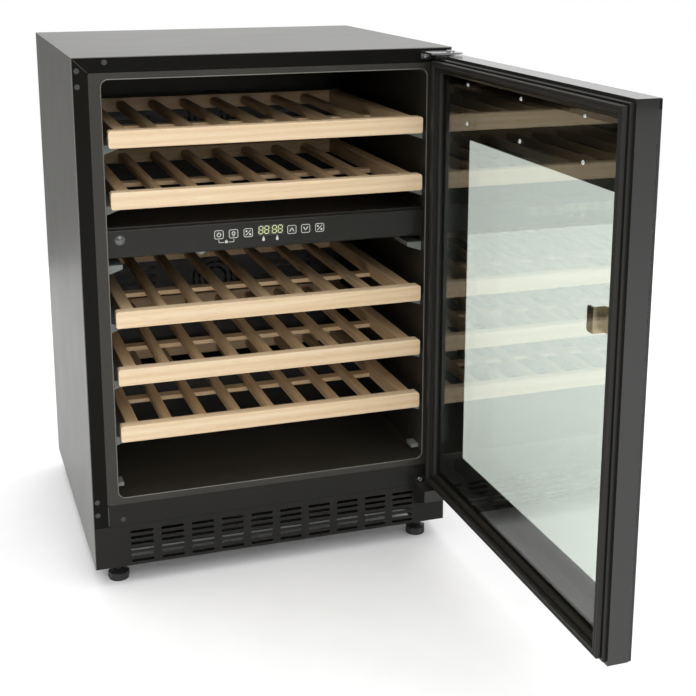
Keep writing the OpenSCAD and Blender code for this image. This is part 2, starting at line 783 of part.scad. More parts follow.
module levelling_foot(x, y) {
  flats = 8;
  translate([x, y, 0]) union() {
    cylinder(h = 3, r = foot_r);
    translate([0, 0, 3]) cylinder(h = 9, r = foot_r + 1.2, $fn = flats);
    translate([0, 0, 12]) cylinder(h = 3, r1 = foot_r - 1, r2 = 9);
    cylinder(h = base_z1 + 12, r = stud_r);
  }
}

module foot_front_left() color(black) levelling_foot(-foot_x, foot_y);
module foot_front_right() color(black) levelling_foot(foot_x, foot_y);
module foot_rear_left() color(black) levelling_foot(-foot_x, cabinet_d - 40);
module foot_rear_right() color(black) levelling_foot(foot_x, cabinet_d - 40);

// ---- door ----

module door_frame() color(black) swung() {
  profile = [[0, door_back], [frame_t, door_back], [frame_t, door_front + frame_t],
             [frame_ring - frame_t, door_front + frame_t], [frame_ring - frame_t, door_back - 6],
             [frame_ring, door_back - 6], [frame_ring, door_front], [0, door_front]];
  difference() {
    door_ring(profile, frame_ring + 5);
    rod_z(hinge_x, hinge_y, door_z0 - 1, door_z0 + 3, pin_d / 2 + 4.1);
    rod_z(hinge_x, hinge_y, door_z1 - 3, door_z1 + 1, pin_d / 2 + 4.1);
  }
}

module door_outer_glass() color([0.6, 0.75, 0.7, 0.4]) swung() {
  along_y(door_front - outer_glass_t, outer_glass_t)
    rounded_rect(-half_w, door_z0, half_w, door_z1, 2);
}

module door_inner_glass() color([0.6, 0.75, 0.7, 0.4]) swung() {
  box([-half_w + pane_in, door_back - 1.2 - inner_glass_t, door_z0 + pane_in],
      [half_w - pane_in, door_back - 1.2, door_z1 - pane_in]);
}

module glass_spacer() color([0.12, 0.12, 0.12]) swung() {
  inner = rim_in + 9;
  outer = frame_ring + 0.3;
  back = door_back - 1.2 - inner_glass_t;
  difference() {
    box([-half_w + outer, door_front, door_z0 + outer], [half_w - outer, back, door_z1 - outer]);
    box([-half_w + inner, door_front - 1, door_z0 + inner],
        [half_w - inner, back + 1, door_z1 - inner]);
  }
}

module door_inner_frame() color(dark) swung() {
  face = door_back + 6;
  profile = [[frame_t + e, door_back], [4.4, door_back], [4.4, door_back + 4.5],
             [5.4, door_back + 5.5], [7.4, door_back + 5.5], [7.4, door_back + 4],
             [gasket_in + gasket_w + 0.8, door_back + 4], [gasket_in + gasket_w + 0.8, face],
             [rim_in - 4, face], [rim_in - 1, face - 1.5], [rim_in, face - 4],
             [rim_in, door_back - 1.2], [pane_in - 1, door_back - 1.2],
             [pane_in - 1, door_back - 5], [frame_ring - frame_t - e - 2, door_back - 5],
             [frame_ring - frame_t - e - 2, door_back - 2], [frame_t + e, door_back - 2]];
  door_ring(profile, rim_in + 5);
}

module door_gasket() color([0.16, 0.16, 0.16]) swung() {
  a = gasket_in;
  b = gasket_in + gasket_w;
  y0 = door_back + 4;
  y1 = -1.5;
  profile = [[a + 1, y0], [a + 1, y0 + 2], [a, y0 + 3], [a, y1 - 1], [a + 1, y1],
             [a + 4, y1], [a + 4.6, y1 - 0.8], [a + 5.4, y1 - 0.8], [a + 6, y1],
             [b - 1, y1], [b, y1 - 1], [b, y0 + 5], [b - 1.2, y0 + 3.5], [b - 0.4, y0]];
  door_ring(profile, rim_in + 5);
}

module door_bushes() color([0.8, 0.8, 0.78]) swung() {
  half = 10;
  for (top = [0, 1]) {
    z0 = top == 0 ? door_z0 + frame_t + e : door_z1 - bush_h - 2;
    z1 = top == 0 ? door_z0 + bush_h + 2 : door_z1 - frame_t - e;
    difference() {
      union() {
        box([hinge_x - half, hinge_y - half, z0], [hinge_x + half, hinge_y + half, z1]);
        rod_z(hinge_x, hinge_y, top == 0 ? door_z0 : door_z1 - 4, top == 0 ? door_z0 + 4 : door_z1,
              pin_d / 2 + 4);
      }
      rod_z(hinge_x, hinge_y, z0 - 5, z1 + 5, pin_d / 2 + run_c);
    }
  }
}

module glass_screws() color([0.1, 0.1, 0.1]) swung() {
  y = door_back - 1.2;
  for (k = [-1, 0, 1], drop = [34.5, 93]) translate([k * 178, y, door_z1 - drop])
    rotate([-90, 0, 0]) rotate_extrude()
      polygon([[0, 0], [3.2, 0], [3.1, 0.8], [2.5, 1.5], [1.4, 1.9], [1.2, 1.2], [0, 1.2]]);
}

module pull_handle() color([0.75, 0.75, 0.77]) swung() {
  glass = door_front - outer_glass_t;
  t = 2.5;
  x0 = -half_w + handle_in;
  z0 = door_z0 + handle_z - handle_h / 2;
  grip = 28;
  foot = 14;
  r = 5;
  // Z-section: foot on the glass, web off the glass, grip turned towards the free edge
  union() {
    along_y(glass - t, t) rounded_rect(x0 + grip - t, z0, x0 + grip + foot, z0 + handle_h, r);
    box([x0 + grip - t, glass - handle_off, z0], [x0 + grip, glass, z0 + handle_h]);
    along_y(glass - handle_off - t, t) rounded_rect(x0, z0, x0 + grip, z0 + handle_h, r);
  }
}

// ---- shelves ----

module shelf_strip(level) {
  top = strip_top(level);
  r = 4;
  intersection() {
    along_y(strip_y0, strip_t) rounded_rect(-shelf_half, top - strip_h, shelf_half, top, r);
    along_x(-shelf_half, 2 * shelf_half) union() {
      translate([strip_y0 + 2, top - strip_h]) square([strip_t - 2, strip_h]);
      translate([strip_y0, top - strip_h + 2]) square([strip_t, strip_h - 4]);
      for (z = [top - strip_h + 2, top - 2]) translate([strip_y0 + 2, z]) circle(2, $fn = 32);
    }
  }
}

bar_y = 160;
bar_w = 20;
glue = 0.05;                  // glue line between the boards of a shelf

module shelf_frame(level) {
  top = strip_top(level);
  low = top - strip_h + runner_rise + seat_c;
  slat_z1 = top - slat_drop;
  slat_z0 = slat_z1 - slat_t;
  y0 = strip_y0 + strip_t + glue;
  rail_y1 = shelf_y1 - 17;
  outer = shelf_half - side_rail_in;
  inner = outer - side_rail_w;
  pitch = (2 * inner + slat_w) / (slat_count + 1);
  length = rail_y1 - glue - y0;
  // side rails with softened upper edges
  for (s = [0, 1]) mirror([s, 0, 0]) translate([0, y0 + length, 0]) rotate([90, 0, 0])
    linear_extrude(length) polygon([[inner, low], [outer, low], [outer, top - 1.5],
      [outer - 1.5, top - 0.5], [inner + 1.5, top - 0.5], [inner, top - 2]]);
  // cross bar under the slats
  box([-inner + glue, bar_y, low], [inner - glue, bar_y + bar_w, slat_z0 - glue]);
  // raised rear board that stops the bottles
  box([-outer, rail_y1, low], [outer, shelf_y1, top]);
  for (k = [0 : slat_count - 1])
    translate([(k - (slat_count - 1) / 2) * pitch, y0 + length, 0]) rotate([90, 0, 0])
      linear_extrude(length)
        polygon([[-slat_w / 2, slat_z0], [slat_w / 2, slat_z0], [slat_w / 2, slat_z1 - 3],
                 [slat_w / 2 - 3, slat_z1], [-slat_w / 2 + 3, slat_z1], [-slat_w / 2, slat_z1 - 3]]);
}

module shelf_1_strip() color(beech) shelf_strip(levels[0]);
module shelf_1_frame() color(beech) shelf_frame(levels[0]);
module shelf_2_strip() color(beech) shelf_strip(levels[1]);
module shelf_2_frame() color(beech) shelf_frame(levels[1]);
module shelf_3_strip() color(beech) shelf_strip(levels[2]);
module shelf_3_frame() color(beech) shelf_frame(levels[2]);
module shelf_4_strip() color(beech) shelf_strip(levels[3]);
module shelf_4_frame() color(beech) shelf_frame(levels[3]);
module shelf_5_strip() color(beech) shelf_strip(levels[4]);
module shelf_5_frame() color(beech) shelf_frame(levels[4]);

outer_wrap();
front_frame();
bottom_rail();
plinth_grille();
rear_panel();
base_pan();
deck_panel();
insulation();
liner();
shelf_runners();
zone_divider();
control_fascia();
control_board();
button_bezel();
door_switch_button();
interior_lamps();
temperature_sensors();
upper_duct_cover();
lower_duct_cover();
evaporator_plates();
fan_motors();
upper_fan_rotor();
lower_fan_rotor();
compressor();
compressor_mounts();
condenser_coil();
condenser_fan_frame();
condenser_fan_rotor();
drip_tray();
power_inlet();
top_hinge_plate();
bottom_hinge_bracket();
hinge_pins();
hinge_washer();
hinge_screws();
frame_screws();
foot_front_left();
foot_front_right();
foot_rear_left();
foot_rear_right();
door_frame();
door_outer_glass();
door_inner_glass();
glass_spacer();
door_inner_frame();
door_gasket();
door_bushes();
glass_screws();
pull_handle();
shelf_1_strip();
shelf_1_frame();
shelf_2_strip();
shelf_2_frame();
shelf_3_strip();
shelf_3_frame();
shelf_4_strip();
shelf_4_frame();
shelf_5_strip();
shelf_5_frame();
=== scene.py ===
import bpy
import bmesh
import json
import math
from mathutils import Matrix, Vector


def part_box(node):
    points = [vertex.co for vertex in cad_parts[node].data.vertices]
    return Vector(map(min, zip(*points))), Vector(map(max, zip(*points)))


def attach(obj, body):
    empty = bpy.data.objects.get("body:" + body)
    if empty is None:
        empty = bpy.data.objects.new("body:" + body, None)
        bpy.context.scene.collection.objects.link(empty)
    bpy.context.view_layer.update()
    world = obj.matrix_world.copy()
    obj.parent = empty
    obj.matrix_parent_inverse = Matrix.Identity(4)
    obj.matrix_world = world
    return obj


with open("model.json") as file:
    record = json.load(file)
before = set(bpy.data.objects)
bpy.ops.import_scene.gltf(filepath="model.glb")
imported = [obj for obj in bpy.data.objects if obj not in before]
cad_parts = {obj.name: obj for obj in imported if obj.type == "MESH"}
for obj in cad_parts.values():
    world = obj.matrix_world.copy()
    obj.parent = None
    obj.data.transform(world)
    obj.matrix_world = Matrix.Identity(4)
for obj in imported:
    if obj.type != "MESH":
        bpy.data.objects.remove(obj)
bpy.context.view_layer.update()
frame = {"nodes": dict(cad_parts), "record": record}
nodes = frame["nodes"]
scene = bpy.context.scene
mm = 0.001
materials = {}


# ---------------------------------------------------------------- node helpers
class Network:
    """A material and its node tree, with short helpers for building networks."""

    def __init__(self, name):
        self.name = name
        self.material = bpy.data.materials.new(name)
        self.material.use_nodes = True
        self.tree = self.material.node_tree
        self.tree.nodes.clear()
        self.out = self.node("ShaderNodeOutputMaterial")
        self._own = None

    def node(self, kind, **props):
        node = self.tree.nodes.new(kind)
        for k, v in props.items():
            setattr(node, k, v)
        return node

    def link(self, a, b):
        self.tree.links.new(a, b)

    def put(self, value, socket):
        """value is a socket to link, or a constant to set."""
        if isinstance(value, bpy.types.NodeSocket):
            self.link(value, socket)
        else:
            socket.default_value = value

    def texture(self, kind, vec, **inputs):
        """A texture node read at vec, or at the object's own coordinates."""
        node = self.node(kind)
        self.link(vec or self.own_coords, node.inputs["Vector"])
        for k, v in inputs.items():
            node.inputs[k.replace("_", " ")].default_value = v
        return node

    @property
    def own_coords(self):
        if self._own is None:
            self._own = self.node("ShaderNodeTexCoord").outputs["Object"]
        return self._own

    def mapping(self, scale, loc=(0, 0, 0), rot=(0, 0, 0), vec=None):
        node = self.texture("ShaderNodeMapping", vec, Scale=scale, Location=loc, Rotation=rot)
        return node.outputs["Vector"]

    def noise(self, scale, detail, rough, vec=None):
        node = self.texture("ShaderNodeTexNoise", vec, Scale=scale, Detail=detail, Roughness=rough)
        return node.outputs["Fac"]

    def voronoi(self, scale):
        return self.texture("ShaderNodeTexVoronoi", None, Scale=scale).outputs["Distance"]

    def bands(self, scale, distortion, detail, detail_scale, direction, vec):
        node = self.texture("ShaderNodeTexWave", vec, Scale=scale, Distortion=distortion,
                            Detail=detail, Detail_Scale=detail_scale)
        node.bands_direction = direction
        return node.outputs["Fac"]

    def math(self, op, a, b):
        node = self.node("ShaderNodeMath", operation=op)
        self.put(a, node.inputs[0])
        self.put(b, node.inputs[1])
        return node.outputs[0]

    def remap(self, value, from_lo, from_hi, to_lo, to_hi, smooth=False):
        node = self.node("ShaderNodeMapRange",
                         interpolation_type="SMOOTHSTEP" if smooth else "LINEAR")
        self.put(value, node.inputs["Value"])
        node.inputs["From Min"].default_value = from_lo
        node.inputs["From Max"].default_value = from_hi
        node.inputs["To Min"].default_value = to_lo
        node.inputs["To Max"].default_value = to_hi
        return node.outputs["Result"]

    def ramp(self, value, stops):
        node = self.node("ShaderNodeValToRGB")
        self.put(value, node.inputs["Fac"])
        elements = node.color_ramp.elements
        while len(elements) < len(stops):
            elements.new(0.5)
        for element, (position, colour) in zip(elements, stops):
            element.position = position
            element.color = colour + (1,)
        return node.outputs["Color"]

    def mix(self, fac, a, b):
        """Blends from a to b; each is a socket or a plain colour."""
        node = self.node("ShaderNodeMix", data_type="RGBA")
        self.put(fac, node.inputs[0])
        for v, s in ((a, node.inputs[6]), (b, node.inputs[7])):
            self.put(v + (1,) if isinstance(v, tuple) else v, s)
        return node.outputs[2]

    def face_normal(self):
        return self.node("ShaderNodeNewGeometry").outputs["Normal"]

    def bump(self, height, strength, distance, normal=None):
        node = self.node("ShaderNodeBump")
        self.put(height, node.inputs["Height"])
        node.inputs["Strength"].default_value = strength
        node.inputs["Distance"].default_value = distance
        if normal is not None:
            self.link(normal, node.inputs["Normal"])
        return node.outputs["Normal"]

    def edge_wear(self, radius):
        """1 along outer edges, 0 elsewhere, from the bevel node against the true normal."""
        bevel = self.node("ShaderNodeBevel", samples=4)
        bevel.inputs["Radius"].default_value = radius
        dot = self.node("ShaderNodeVectorMath", operation="DOT_PRODUCT")
        self.link(bevel.outputs["Normal"], dot.inputs[0])
        self.link(self.face_normal(), dot.inputs[1])
        return self.remap(dot.outputs["Value"], 0.97, 0.75, 0.0, 1.0)

    def principled(self, normal=None, **inputs):
        p = self.node("ShaderNodeBsdfPrincipled")
        for k, v in inputs.items():
            self.put(v, p.inputs[k.replace("_", " ")])
        if normal is not None:
            self.link(normal, p.inputs["Normal"])
        return p.outputs[0]

    def done(self, shader):
        """Ends the network with a shader and files the material under the name it was given."""
        self.link(shader, self.out.inputs["Surface"])
        materials[self.name] = self.material
        return self.material


def srgb(*levels):
    """0-255 display values to linear."""
    parts = [c / 255.0 for c in levels]
    return tuple(c / 12.92 if c <= 0.04045 else ((c + 0.055) / 1.055) ** 2.4 for c in parts)


def shade(colour, factor, lift=0.0):
    return tuple(min(1, c * factor + lift) for c in colour)


def lengthwise(along, on_axis, across):
    """Three scales that draw a pattern out along one axis."""
    return tuple(on_axis if axis == along else across for axis in "XYZ")


# ---------------------------------------------------------------- materials
DUST = (0.5, 0.49, 0.46)
DUST_AMOUNT = 0.04


def painted_steel(name, colour, rough, peel=0.012, coat=0.0, fleck=0.0, coat_rough=0.1,
                  specular=0.5, vary=1.0):
    """Baked paint on sheet: orange peel, faint handling marks, a little dust on upward faces."""
    m = Network(name)
    fine = m.noise(1400, 2, 0.5)
    orange_peel = m.noise(260, 3, 0.55)
    broad = m.noise(3.2, 3, 0.5)
    marks = m.noise(11, 5, 0.55)
    dark = shade(colour, 1 - 0.07 * vary)
    light = shade(colour, 1 + 0.08 * vary, 0.001)
    col = m.mix(m.remap(broad, 0.35, 0.65, 0, 1), dark, light)
    if fleck:
        flecks = m.remap(m.voronoi(1700), 0.0, 0.28, fleck, 0.0)
        col = m.mix(flecks, col, shade(colour, 1.9, 0.03))
    split = m.node("ShaderNodeSeparateXYZ")
    m.link(m.face_normal(), split.inputs[0])
    upward = m.remap(split.outputs["Z"], 0.6, 1.0, 0, DUST_AMOUNT)
    dusty = m.math("MULTIPLY", upward, m.remap(marks, 0.4, 0.75, 0.3, 1))
    col = m.mix(dusty, col, DUST)
    wear = m.math("MULTIPLY", m.edge_wear(0.9 * mm), 0.3)
    col = m.mix(wear, col, shade(colour, 2.2, 0.03))
    handled = m.remap(marks, 0.3, 0.75, rough * 0.94, rough * 1.06)
    r = m.math("ADD", handled, m.remap(fine, 0.3, 0.7, -0.02, 0.02))
    relief = m.bump(orange_peel, 0.12, peel * 0.01)
    relief = m.bump(fine, 0.06, 0.06 * mm, relief)
    return m.done(m.principled(relief, Base_Color=col, Roughness=r, Coat_Weight=coat,
                               Coat_Roughness=coat_rough, Specular_IOR_Level=specular))


def moulded(name, colour, rough, grain=520, grain_h=0.09, vary=0.12, coat=0.0, specular=0.5):
    """Injection moulding: spark texture grain_h mm deep, slight flow-line shade, polished edges."""
    m = Network(name)
    spark = m.noise(grain, 3, 0.6)
    pits = m.voronoi(grain * 1.4)
    flow = m.noise(7, 3, 0.5, vec=m.mapping((1, 1, 0.4)))
    dark, light = shade(colour, 1 - vary), shade(colour, 1 + vary, 0.002)
    col = m.mix(m.remap(flow, 0.3, 0.7, 0, 1), dark, light)
    col = m.mix(m.remap(spark, 0.45, 0.7, 0, 0.35), col, shade(colour, 0.8))
    edge = m.edge_wear(1.1 * mm)
    col = m.mix(m.math("MULTIPLY", edge, 0.22), col, shade(colour, 1.9, 0.02))
    r = m.remap(spark, 0.3, 0.7, rough * 0.9, min(1, rough * 1.12))
    r = m.math("SUBTRACT", r, m.math("MULTIPLY", edge, 0.08))
    height = m.math("ADD", spark, m.math("MULTIPLY", pits, 0.6))
    relief = m.bump(height, 0.3, grain_h * mm)
    return m.done(m.principled(relief, Base_Color=col, Roughness=r, Coat_Weight=coat,
                               Coat_Roughness=0.08, Specular_IOR_Level=specular))


def metal(name, colour, rough, along="X", brush=0.5):
    """Drawn or brushed metal with fine lines along one axis and a few faint smudges."""
    m = Network(name)
    lines = m.noise(1.0, 5, 0.65, vec=m.mapping(lengthwise(along, 2, 900)))
    smudge = m.noise(38, 4, 0.6)
    col = m.mix(m.remap(lines, 0.3, 0.7, 0, 1), shade(colour, 0.86), colour)
    col = m.mix(m.remap(smudge, 0.55, 0.8, 0, 0.16), col, shade(colour, 0.7))
    brushed = m.remap(lines, 0.3, 0.7, rough * 0.8, rough * 1.25)
    r = m.math("ADD", brushed, m.remap(smudge, 0.5, 0.8, 0, 0.08))
    relief = m.bump(lines, 0.15 * brush, 0.05 * mm)
    return m.done(m.principled(relief, Base_Color=col, Roughness=r, Metallic=1.0))


def beech(name, seed, along="X", tone=(1.0, 1.0, 1.0), painted_shade=1.0, calm=1.0):
    """Planed beech: long soft growth bands, short ray flecks, fine pores, eased pale edges."""
    m = Network(name)

    def wood(*levels, tint=tone):
        return tuple(min(1, c * t * painted_shade) for c, t in zip(srgb(*levels), tint))

    # each board gets its own slice through the trunk
    island = m.node("ShaderNodeNewGeometry").outputs["Random Per Island"]
    shift = m.node("ShaderNodeCombineXYZ")
    for i in range(3):
        m.put(m.math("MULTIPLY", island, 7.3 + i * 2.9), shift.inputs[i])
    moved = m.node("ShaderNodeVectorMath", operation="ADD")
    m.link(m.own_coords, moved.inputs[0])
    m.link(shift.outputs[0], moved.inputs[1])
    place = moved.outputs["Vector"]
    offset = (seed * 3.17, seed * 1.93, seed * 2.41)

    stretch = lengthwise(along, 1.1, 14)
    warp = m.noise(1.0, 3, 0.5, vec=m.mapping(stretch, offset, vec=place))
    turned = m.mapping(tuple(s * 1.7 for s in stretch), offset, (0.16, 0.1, 0.05), vec=place)
    rings = m.bands(1.0, 3.4, 3, 0.8, "Z", turned)
    band = m.math("ADD", m.math("MULTIPLY", warp, 0.6), m.math("MULTIPLY", rings, 0.4))
    col = m.ramp(band, [(0.22, wood(231, 209, 177)), (0.52, wood(226, 201, 166)),
                        (0.82, wood(218, 190, 152))])

    # dark ray flecks, then paler and longer ones
    fleck = lengthwise(along, 42, 420)
    dark_rays = m.noise(1.0, 2, 0.4, vec=m.mapping(fleck, offset, vec=place))
    col = m.mix(m.remap(dark_rays, 0.6, 0.72, 0, 0.16 * calm, True), col, wood(178, 128, 84))
    longer = m.mapping(tuple(s * 0.6 for s in fleck), (5, 3, 8), vec=place)
    pale_rays = m.noise(1.0, 2, 0.4, vec=longer)
    col = m.mix(m.remap(pale_rays, 0.62, 0.74, 0, 0.14 * calm, True), col, wood(255, 238, 206))
    pore = m.mapping(lengthwise(along, 120, 1500), offset, vec=place)
    pores = m.noise(1.0, 2, 0.5, vec=pore)
    plain = (1.0, 1.0, 1.0)
    col = m.mix(m.remap(pores, 0.62, 0.75, 0, 0.16 * calm), col, wood(150, 104, 66, tint=plain))

    # tone from board to board, and pale edges
    col = m.mix(m.remap(island, 0, 1, 0.0, 0.22), col, wood(205, 160, 112))
    edge = m.math("MULTIPLY", m.edge_wear(1.6 * mm), 0.28)
    col = m.mix(edge, col, wood(255, 240, 212, tint=plain))
    r = m.remap(band, 0.2, 0.9, 0.48, 0.6)
    r = m.math("ADD", r, m.remap(pores, 0.55, 0.75, 0, 0.12))
    height = m.math("ADD", m.math("MULTIPLY", pores, -0.8), m.math("MULTIPLY", band, 0.5))
    relief = m.bump(height, 0.22, 0.16 * mm)
    return m.done(m.principled(relief, Base_Color=col, Roughness=r, Coat_Weight=0.08,
                               Coat_Roughness=0.35))


def pane(name, tint):
    """Clear float glass that lets lamps through, with faint roller waves and wiping marks."""
    m = Network(name)
    waves = m.noise(2.4, 2, 0.5)
    wiped = m.noise(7, 3, 0.5)
    glass = m.principled(m.bump(waves, 0.02, 0.2 * mm), Base_Color=tint + (1,),
                         Roughness=m.remap(wiped, 0.4, 0.8, 0.0, 0.006),
                         Transmission_Weight=1.0, IOR=1.5)
    clear = m.node("ShaderNodeBsdfTransparent")
    clear.inputs["Color"].default_value = (0.93, 0.955, 0.94, 1)
    blend = m.node("ShaderNodeMixShader")
    m.link(m.node("ShaderNodeLightPath").outputs["Is Shadow Ray"], blend.inputs[0])
    m.link(glass, blend.inputs[1])
    m.link(clear.outputs[0], blend.inputs[2])
    return m.done(blend.outputs[0])


def glowing(name, colour, strength):
    """Lit display segments with a slightly uneven glow."""
    m = Network(name)
    uneven = m.noise(420, 2, 0.5)
    col = m.mix(m.remap(uneven, 0.3, 0.7, 0, 0.4), colour, shade(colour, 0.75))
    return m.done(m.principled(Base_Color=col, Roughness=m.remap(uneven, 0.3, 0.7, 0.3, 0.4),
                               Emission_Color=col, Emission_Strength=strength))


def printed(name, colour, rough):
    """Screen-printed ink: dense, with a hairline of unevenness."""
    m = Network(name)
    mesh_marks = m.noise(900, 3, 0.6)
    col = m.mix(m.remap(mesh_marks, 0.35, 0.7, 0, 0.25), colour, shade(colour, 0.8))
    r = m.remap(mesh_marks, 0.3, 0.7, rough * 0.9, rough * 1.15)
    return m.done(m.principled(m.bump(mesh_marks, 0.1, 0.02 * mm), Base_Color=col, Roughness=r))


GLOSSY = {"grain": 1200, "grain_h": 0.02}
SATIN = {"grain": 900, "grain_h": 0.03}

painted_steel("casing_steel", srgb(107, 106, 103), 0.36, fleck=0.1, vary=0.6, specular=0.15)
painted_steel("black_trim", srgb(13, 12, 10), 0.34, specular=0.09)
# much darker than bare galvanised steel: painted shade, so that what shows through the grille's
# slots stays dark
metal("galvanised", (0.28, 0.285, 0.29), 0.5, brush=0.6)
moulded("foam", (0.8, 0.74, 0.5), 0.9, grain=180, grain_h=0.6)
moulded("liner_plastic", srgb(46, 44, 39), 0.38, grain=620, grain_h=0.06, specular=0.35)
moulded("grey_plastic", srgb(120, 124, 120), 0.45)
moulded("divider_plastic", srgb(30, 28, 25), 0.42, specular=0.3)
moulded("fascia_gloss", srgb(33, 32, 29), 0.32, specular=0.22, **GLOSSY)
moulded("circuit", (0.04, 0.2, 0.09), 0.4)
moulded("button_plastic", srgb(74, 74, 72), 0.22, coat=0.8, **GLOSSY)
moulded("lamp_lens", (0.2, 0.21, 0.21), 0.14, grain=300, coat=0.6)
moulded("sensor_shell", (0.66, 0.67, 0.68), 0.45)
# far darker than bare aluminium: painted shade inside the cabinet
metal("evaporator_metal", (0.2, 0.2, 0.21), 0.5)
moulded("motor_shell", srgb(30, 30, 31), 0.5)
moulded("fan_plastic", srgb(52, 52, 54), 0.46)
painted_steel("compressor_shell", srgb(22, 22, 22), 0.22, coat=0.5)
moulded("mount_rubber", srgb(24, 24, 24), 0.8, grain=700)
painted_steel("condenser_metal", srgb(24, 24, 24), 0.35, coat=0.2)
moulded("tray_plastic", srgb(48, 48, 48), 0.5)
moulded("inlet_plastic", srgb(26, 26, 26), 0.5)
metal("bright_steel", (0.78, 0.78, 0.79), 0.2)
painted_steel("bracket_paint", srgb(30, 29, 27), 0.4)
moulded("washer_nylon", (0.78, 0.78, 0.74), 0.45)
moulded("foot_plastic", srgb(30, 30, 30), 0.5)
painted_steel("door_steel", srgb(20, 20, 18), 0.2, peel=0.006, coat=0.55, coat_rough=0.06,
              specular=0.3)
moulded("spacer_black", srgb(16, 16, 15), 0.3, **SATIN)
moulded("door_plastic", srgb(30, 29, 25), 0.34, specular=0.3, **SATIN)
moulded("gasket_rubber", srgb(30, 29, 26), 0.5, grain=420, grain_h=0.12, specular=0.3)
# the brown in the steel's colour is a painted reflection of the beech shelves
metal("handle_steel", (0.4, 0.31, 0.22), 0.24, "Z", brush=0.6)
pane("door_glass", (0.83, 0.875, 0.835))
# the slats take a darker, browner copy of the strips' beech: painted shade
materials["beech"] = beech("beech_frame_shaded", 3, "Y", tone=(1.0, 0.93, 0.82), painted_shade=0.8, calm=1.6)

# a lighter copy of the black trim paint for the bottom rail and grille: painted light
painted_steel("rail_paint_lit", srgb(27, 26, 23), 0.34, specular=0.2)
metal("screw_bright", (0.8, 0.8, 0.8), 0.25, brush=0.4)
metal("screw_dark", (0.09, 0.09, 0.09), 0.32, brush=0.4)
moulded("bezel_gloss", srgb(12, 12, 11), 0.18, coat=0.6, **GLOSSY)
own_look = {"bottom_rail": "rail_paint_lit", "plinth_grille": "rail_paint_lit",
            "glass_screws": "screw_bright", "frame_screws": "screw_dark",
            "button_bezel": "bezel_gloss"}
for shelf in range(1, 6):
    beech("beech_strip_%d" % shelf, 11 + 5 * shelf)
    own_look["shelf_%d_strip" % shelf] = "beech_strip_%d" % shelf
slots = {s["node"]: s["material_slot"] for s in frame["record"]["subparts"]}
for name, ob in nodes.items():
    ob.data.materials.clear()
    ob.data.materials.append(materials[own_look.get(name, slots[name])])


# ---------------------------------------------------------------- eased edges on CAD nodes
SHARP = math.radians(35)


def round_edges(name, width, segments=2):
    """Rounds the sharp edges; width in mm."""
    bevel = nodes[name].modifiers.new("edge", "BEVEL")
    bevel.width = width * mm
    bevel.segments = segments
    bevel.limit_method = "ANGLE"
    bevel.angle_limit = SHARP


for shelf in range(1, 6):
    round_edges("shelf_%d_strip" % shelf, 1.2, 3)
    round_edges("shelf_%d_frame" % shelf, 0.8)
for name, width in (("outer_wrap", 2.2), ("control_fascia", 0.6), ("pull_handle", 0.5),
                    ("top_hinge_plate", 0.5), ("bottom_hinge_bracket", 0.4),
                    ("shelf_runners", 0.8), ("zone_divider", 0.8), ("door_frame", 0.8),
                    ("front_frame", 0.6), ("bottom_rail", 0.4), ("plinth_grille", 0.3),
                    ("door_inner_frame", 0.4)):
    round_edges(name, width)

# ---------------------------------------------------------------- pieces added to the scene, each riding on a body
printed("print_white", srgb(205, 206, 200), 0.4)
printed("print_black", srgb(15, 14, 12), 0.16)
glowing("display_lit", srgb(196, 204, 150), 0.3)
printed("key_pad", srgb(30, 30, 28), 0.22)
# light grey with a clear coat: painted highlight for the liner's lip and the front flange's cut
# edges
moulded("highlight_grey", srgb(96, 94, 87), 0.2, grain=900, grain_h=0.02, coat=0.5)


def finish_piece(name, bm, look, body):
    """Turns a bmesh into a piece that rides on a body and takes its finish from a slot."""
    bmesh.ops.remove_doubles(bm, verts=bm.verts, dist=1e-7)
    bmesh.ops.recalc_face_normals(bm, faces=bm.faces)
    me = bpy.data.meshes.new(name)
    bm.to_mesh(me)
    bm.free()
    ob = bpy.data.objects.new(name, me)
    scene.collection.objects.link(ob)
    me.materials.append(materials[look])
    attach(ob, body)
    return ob


def arc(cx, cz, r, steps=24, start=0, end=360):
    """Points round a full circle, or along an arc with both its ends."""
    count = steps if end - start == 360 else steps + 1
    turns = [math.radians(start + (end - start) * k / steps) for k in range(count)]
    return [(cx + r * math.cos(a), cz + r * math.sin(a)) for a in turns]


def rounded(x0, z0, x1, z1, r, steps=6):
    """Points round a rectangle with rounded corners, counter-clockwise."""
    centres = ((x1 - r, z1 - r), (x0 + r, z1 - r), (x0 + r, z0 + r), (x1 - r, z0 + r))
    pts = []
    for quarter, (cx, cz) in enumerate(centres):
        pts += arc(cx, cz, r, steps, 90 * quarter, 90 * quarter + 90)
    return pts


def plate(bm, outline, place, t0, t1):
    """A closed plate: the outline between depths t0 and t1, put in space by place(a, b, t)."""
    lo = [bm.verts.new(place(a, b, t0)) for a, b in outline]
    hi = [bm.verts.new(place(a, b, t1)) for a, b in outline]
    n = len(outline)
    bm.faces.new(lo)
    bm.faces.new(hi[::-1])
    for i in range(n):
        bm.faces.new((lo[i], hi[i], hi[(i + 1) % n], lo[(i + 1) % n]))


def ring(bm, outer, inner, place, t0, t1, full=True):
    """A band between two outlines of one length; with its ends capped if it isn't a full loop."""
    sections = ((outer, t0), (outer, t1), (inner, t1), (inner, t0))
    loops = [[bm.verts.new(place(a, b, t)) for a, b in line] for line, t in sections]
    n = len(outer)
    for i in range(n if full else n - 1):
        j = (i + 1) % n
        for k in range(4):
            a, b = loops[k], loops[(k + 1) % 4]
            bm.faces.new((a[i], b[i], b[j], a[j]))
    if not full:
        bm.faces.new([loop[0] for loop in loops])
        bm.faces.new([loop[-1] for loop in loops][::-1])


